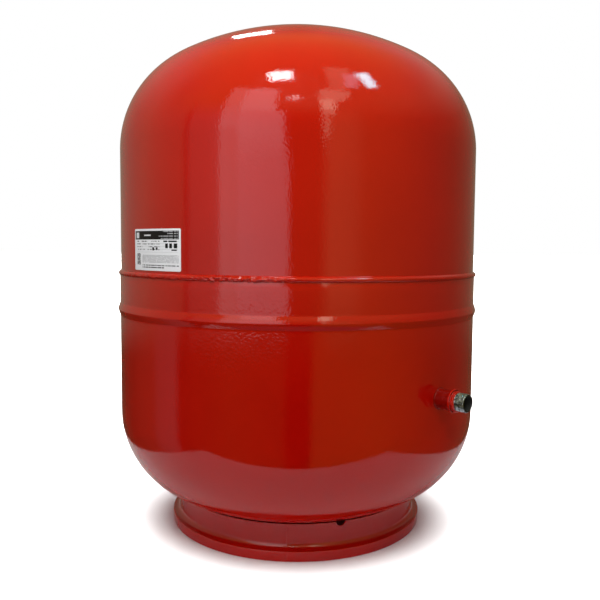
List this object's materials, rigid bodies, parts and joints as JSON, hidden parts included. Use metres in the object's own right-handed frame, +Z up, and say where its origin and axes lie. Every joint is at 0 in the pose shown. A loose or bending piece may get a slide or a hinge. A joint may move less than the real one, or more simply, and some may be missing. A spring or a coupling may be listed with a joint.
{
  "type": "expansion vessel",
  "caption": "Floor-standing diaphragm expansion vessel: domed welded steel shells on a foot ring, side water nipple, gas valve under a lid in a top well.",
  "frame": {"origin": "on the floor, under the middle of the object's bounding box; the vessel's own axis is parallel to Z and stands 21.5 mm towards -X of it", "axes": "+Z up along the vessel's axis; +X out of the water nipple; -Y is the side with the rating label"},
  "size_m": [0.643, 0.6, 0.8274],
  "materials": {
    "red_paint": "glossy powder coat with a slight orange peel",
    "zinc": "zinc plated, machined thread",
    "brass": "turned",
    "spring_steel": "drawn wire, bright",
    "bare_steel": "plain rolled steel",
    "butyl_rubber": "matte",
    "black_plastic": "fine moulded texture",
    "label_film": "printed adhesive film"
  },
  "bodies": {
    "vessel": {"upper_shell": "red_paint", "lower_shell": "red_paint", "girth_weld": "red_paint", "diaphragm_clamp_ring": "bare_steel", "foot_ring": "red_paint", "foot_ring_seam_weld": "red_paint", "foot_tack_weld_1": "red_paint", "foot_tack_weld_2": "red_paint", "foot_tack_weld_3": "red_paint", "foot_tack_weld_4": "red_paint", "water_socket": "red_paint", "socket_weld": "red_paint", "nipple_weld": "red_paint", "water_nipple": "zinc", "valve_boss": "bare_steel", "valve_boss_weld": "red_paint", "valve_stem": "brass", "valve_stem_seal": "butyl_rubber", "valve_core_body": "brass", "valve_core_seal": "butyl_rubber", "valve_spring": "spring_steel", "rating_label": "label_film"},
    "diaphragm": {"diaphragm": "butyl_rubber"},
    "valve_pin": {"valve_pin": "spring_steel", "valve_pin_seal": "butyl_rubber"},
    "cap_lift": {"dust_cap_washer": "butyl_rubber"},
    "dust_cap": {"valve_dust_cap": "black_plastic"},
    "valve_cover": {"valve_cover": "black_plastic"}
  },
  "joints": [
    {"name": "diaphragm_rise", "type": "slide", "parent": "vessel", "child": "diaphragm", "axis": [0, 0, 1], "range_m": [0, 0.3], "deforming": ["diaphragm"]},
    {"name": "valve_pin_press", "type": "slide", "parent": "vessel", "child": "valve_pin", "axis": [0, 0, -1], "range_m": [0, 0.0012], "stiffness_N_per_m": 2000, "springref_m": -0.0008, "deforming": ["valve_spring"]},
    {"name": "dust_cap_travel", "type": "slide", "parent": "vessel", "child": "cap_lift", "axis": [0, 0, 1], "range_m": [0, 0.0052]},
    {"name": "dust_cap_turn", "type": "hinge", "parent": "cap_lift", "child": "dust_cap", "pos_m": [-0.0215, 0, 0.815], "axis": [0, 0, 1], "range_deg": [0, 2360]},
    {"name": "cover_lift", "type": "slide", "parent": "vessel", "child": "valve_cover", "axis": [0, 0, 1], "range_m": [0, 0.06]}
  ],
  "couplings": [
    {"joint": "dust_cap_turn", "follows": "dust_cap_travel", "rad_per_m": 7915.8}
  ]
}
